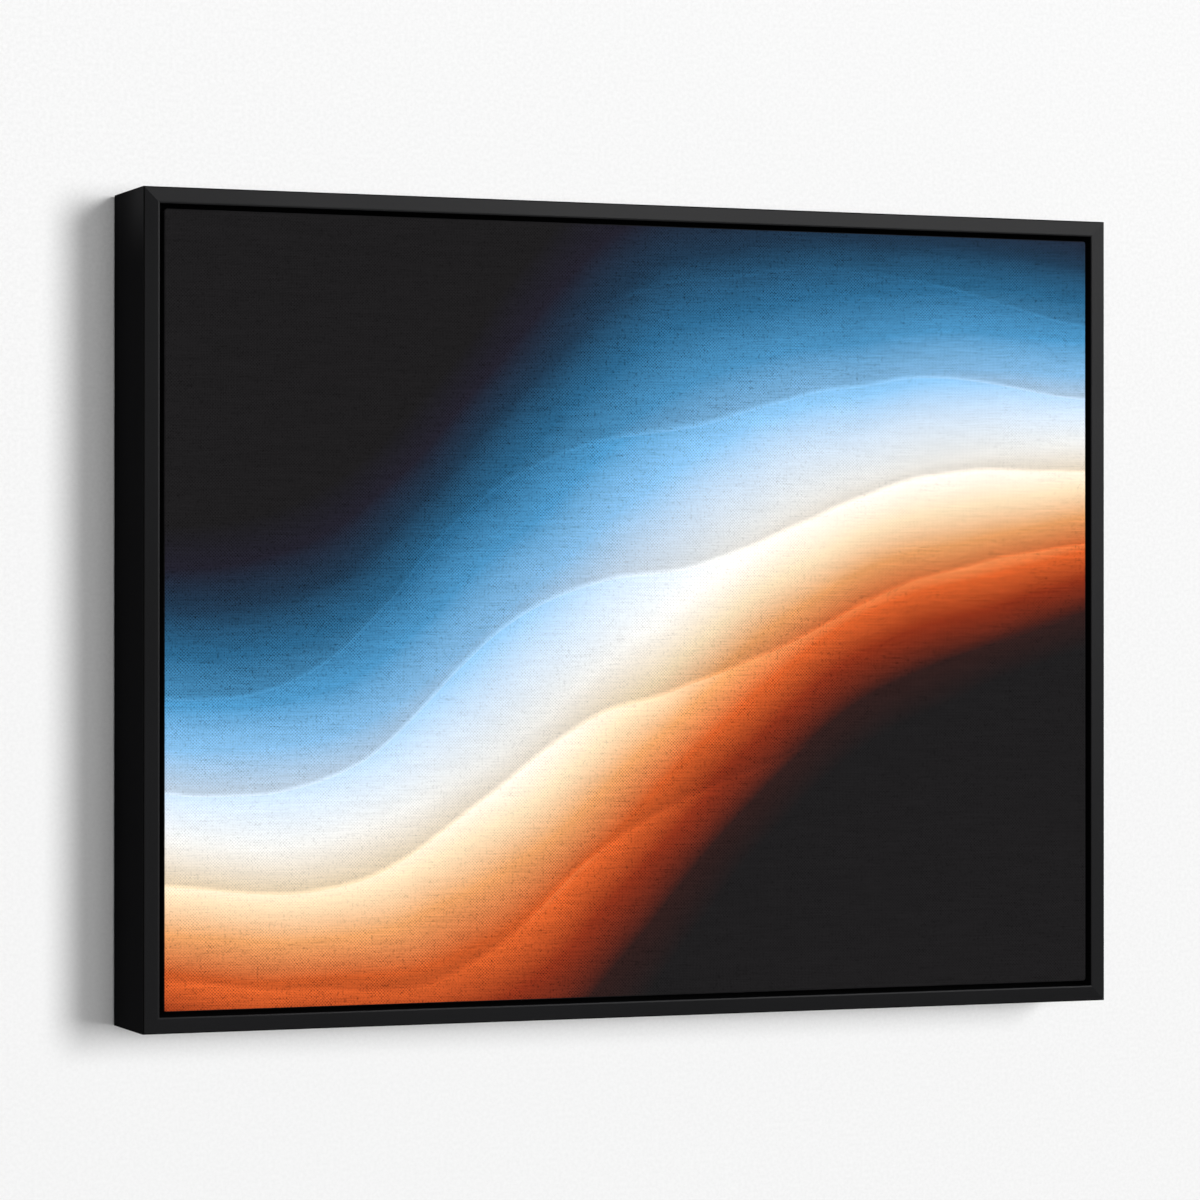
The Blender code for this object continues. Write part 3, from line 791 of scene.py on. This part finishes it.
def strap_plate(name, pivot):
    """A folded sheet, flat, with a round end below and a hole for its screw."""
    drop = STRAP_DROP - STRAP_HALF
    outline = [(-STRAP_HALF, 0)] + [(x, z - drop) for x, z in arc(STRAP_HALF, 180, 360, 24)]
    outline.append((STRAP_HALF, 0))
    loops = []
    for y, shrink in STRAP_LEVELS:
        narrow = 1 - shrink / STRAP_HALF
        loops.append([pivot + Vector((x * narrow, y - CURL_OUT, z + (shrink if z < -0.001 else 0)))
                      for x, z in outline])
    bm = bmesh.new()
    solid_loft(bm, loops)
    plate = finish_mesh(bm, name, [ZINC], 40)
    through = 0.004
    hole = [(0, through), (STRAP_HOLE, through), (STRAP_HOLE, -through), (0, -through)]
    cut_holes(plate, hole, [pivot + Vector((0, -CURL_OUT, -STRAP_HOLE_DROP))], ZINC, 40)
    return plate


def strap_curl(name, pivot):
    """A rolled tube round the ring's straight side, open towards the strap."""
    section = arc(CURL_OUT, -90, 210, 40) + arc(CURL_IN, 210, -90, 40)
    bm = bmesh.new()
    solid_loft(bm, [[pivot + Vector((share * STRAP_HALF, y, -z)) for z, y in section]
                    for share in (-1, -0.96, 0.96, 1)])
    return finish_mesh(bm, name, [ZINC], 40)


def d_ring(name, pivot):
    """Round wire bent to a D, hanging from its straight side."""
    bow = [(x, z - RING_STRAIGHT, 0) for x, z in arc(RING_REACH, 180, 360, 40)]
    outline = [(-RING_REACH, 0, RING_ROUND)] + bow + [(RING_REACH, 0, RING_ROUND)]
    path = [pivot + Vector((x, 0, z)) for x, z in fillet(outline, 8)]
    bm = bmesh.new()
    sweep(bm, path, RING_WIRE, Vector((0, 1, 0)), 20, closed=True)
    return finish_mesh(bm, name, [NICKEL], 60)


for sx, side in ((-1, "left"), (1, "right")):
    pivot = Vector((sx * PIVOT.x, PIVOT.y, PIVOT.z))
    plate = strap_plate(f"strap_plate_{side}", pivot)
    curl = strap_curl(f"strap_curl_{side}", pivot)
    for piece in (plate, curl):
        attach(piece, "frame")
    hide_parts(f"strap_{side}")
    ring = d_ring(f"d_ring_{side}", pivot)
    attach(ring, f"ring_{side}")
    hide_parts(f"ring_{side}")


# Wall, floor and the pale sides of the room, which only the other views show

def stage_plane(name, corners, material):
    bm = bmesh.new()
    bm.faces.new([bm.verts.new(c) for c in corners])
    mesh = bpy.data.meshes.new(name)
    bm.to_mesh(mesh)
    bm.free()
    mesh.materials.append(material)
    obj = bpy.data.objects.new(name, mesh)
    bpy.context.scene.collection.objects.link(obj)
    obj.visible_shadow = False
    return obj


def upright_plane(name, start, end, material):
    """A plane from the floor up between two points given as x and y."""
    (x0, y0), (x1, y1) = start, end
    return stage_plane(name, [(x0, y0, DOWN), (x1, y1, DOWN), (x1, y1, UP), (x0, y0, UP)], material)


FAR, NEAR, DOWN, UP = 6.0, -4.0, -1.3, 5.0
upright_plane("wall", (-FAR, 0), (FAR, 0), plaster("wall_paint", 0.88))
floor = stage_plane("floor", [(-FAR, FAR, DOWN), (-FAR, -FAR, DOWN), (FAR, -FAR, DOWN), (FAR, FAR, DOWN)],
                    plaster("floor_paint", 0.86, glow=0.35))
floor.visible_diffuse = False
room_paint = plaster("room_paint", 0.86, glow=0.40)
for name, start, end in (("room_back", (FAR, NEAR), (-FAR, NEAR)),
                         ("room_left", (-FAR, NEAR), (-FAR, FAR)),
                         ("room_right", (FAR, FAR), (FAR, NEAR))):
    room_side = upright_plane(name, start, end, room_paint)
    room_side.visible_diffuse = False
    room_side.visible_glossy = False


# Light

def area_light(name, azimuth, elevation, distance, width, height, power):
    """An oval softbox that faces the object's middle. Azimuth 0 is in front, 90 on its right."""
    az, el = math.radians(azimuth), math.radians(elevation)
    at = Vector((math.sin(az) * math.cos(el), -math.cos(az) * math.cos(el), math.sin(el)))
    data = bpy.data.lights.new(name, "AREA")
    data.shape = "ELLIPSE"
    data.size, data.size_y = width, height
    data.energy = power
    obj = bpy.data.objects.new(name, data)
    obj.location = at * distance
    obj.rotation_euler = (-at).to_track_quat("-Z", "Y").to_euler()
    obj.visible_camera = False
    bpy.context.scene.collection.objects.link(obj)
    return obj


# The first three light the paint, cloth and wall, and the next two give the rails their gloss
for light in (area_light("key", 23.0, 6.0, 20.0, 7.05, 9.2, 3200.0),
              area_light("front", 0.0, 1.0, 12.0, 5.1, 3.8, 352.0),
              area_light("fill", -16.0, 2.5, 6.0, 1.7, 1.4, 42.0)):
    light.visible_glossy = False
for light in (area_light("sheen", 29.0, 14.0, 10.0, 5.4, 5.4, 800.0),
              area_light("low_sheen", 28.0, -3.0, 10.0, 7.3, 7.3, 300.0)):
    light.visible_diffuse = False
area_light("behind", 180.0, 34.0, 2.6, 1.8, 1.4, 46.0)

world = bpy.data.worlds.new("studio")
world.use_nodes = True
background = world.node_tree.nodes["Background"]
background.inputs["Color"].default_value = (1, 1, 1, 1)
background.inputs["Strength"].default_value = 0.03
bpy.context.scene.world = world


# Camera, from the photograph's perspective

YAW, PITCH, ROLL = (math.radians(a) for a in (21.617, 0.223, 0.013))
STANDS_AT = (-0.6647, -1.6728, -0.0026)

camera = bpy.data.objects.new("camera", bpy.data.cameras.new("camera"))
camera.data.sensor_width = 36.0
camera.data.lens = 131.05
camera.data.clip_start, camera.data.clip_end = 0.05, 60
forward = Vector((math.sin(YAW) * math.cos(PITCH), math.cos(YAW) * math.cos(PITCH), math.sin(PITCH)))
level = Vector((math.cos(YAW), -math.sin(YAW), 0))
square = level.cross(forward)
right = level * math.cos(ROLL) + square * math.sin(ROLL)
up = square * math.cos(ROLL) - level * math.sin(ROLL)
aim = Matrix((right, up, -forward)).transposed().to_4x4()
camera.matrix_world = Matrix.Translation(STANDS_AT) @ aim
bpy.context.scene.collection.objects.link(camera)
bpy.context.scene.camera = camera

view = bpy.context.scene.view_settings
view.view_transform = "Standard"
view.look = "None"
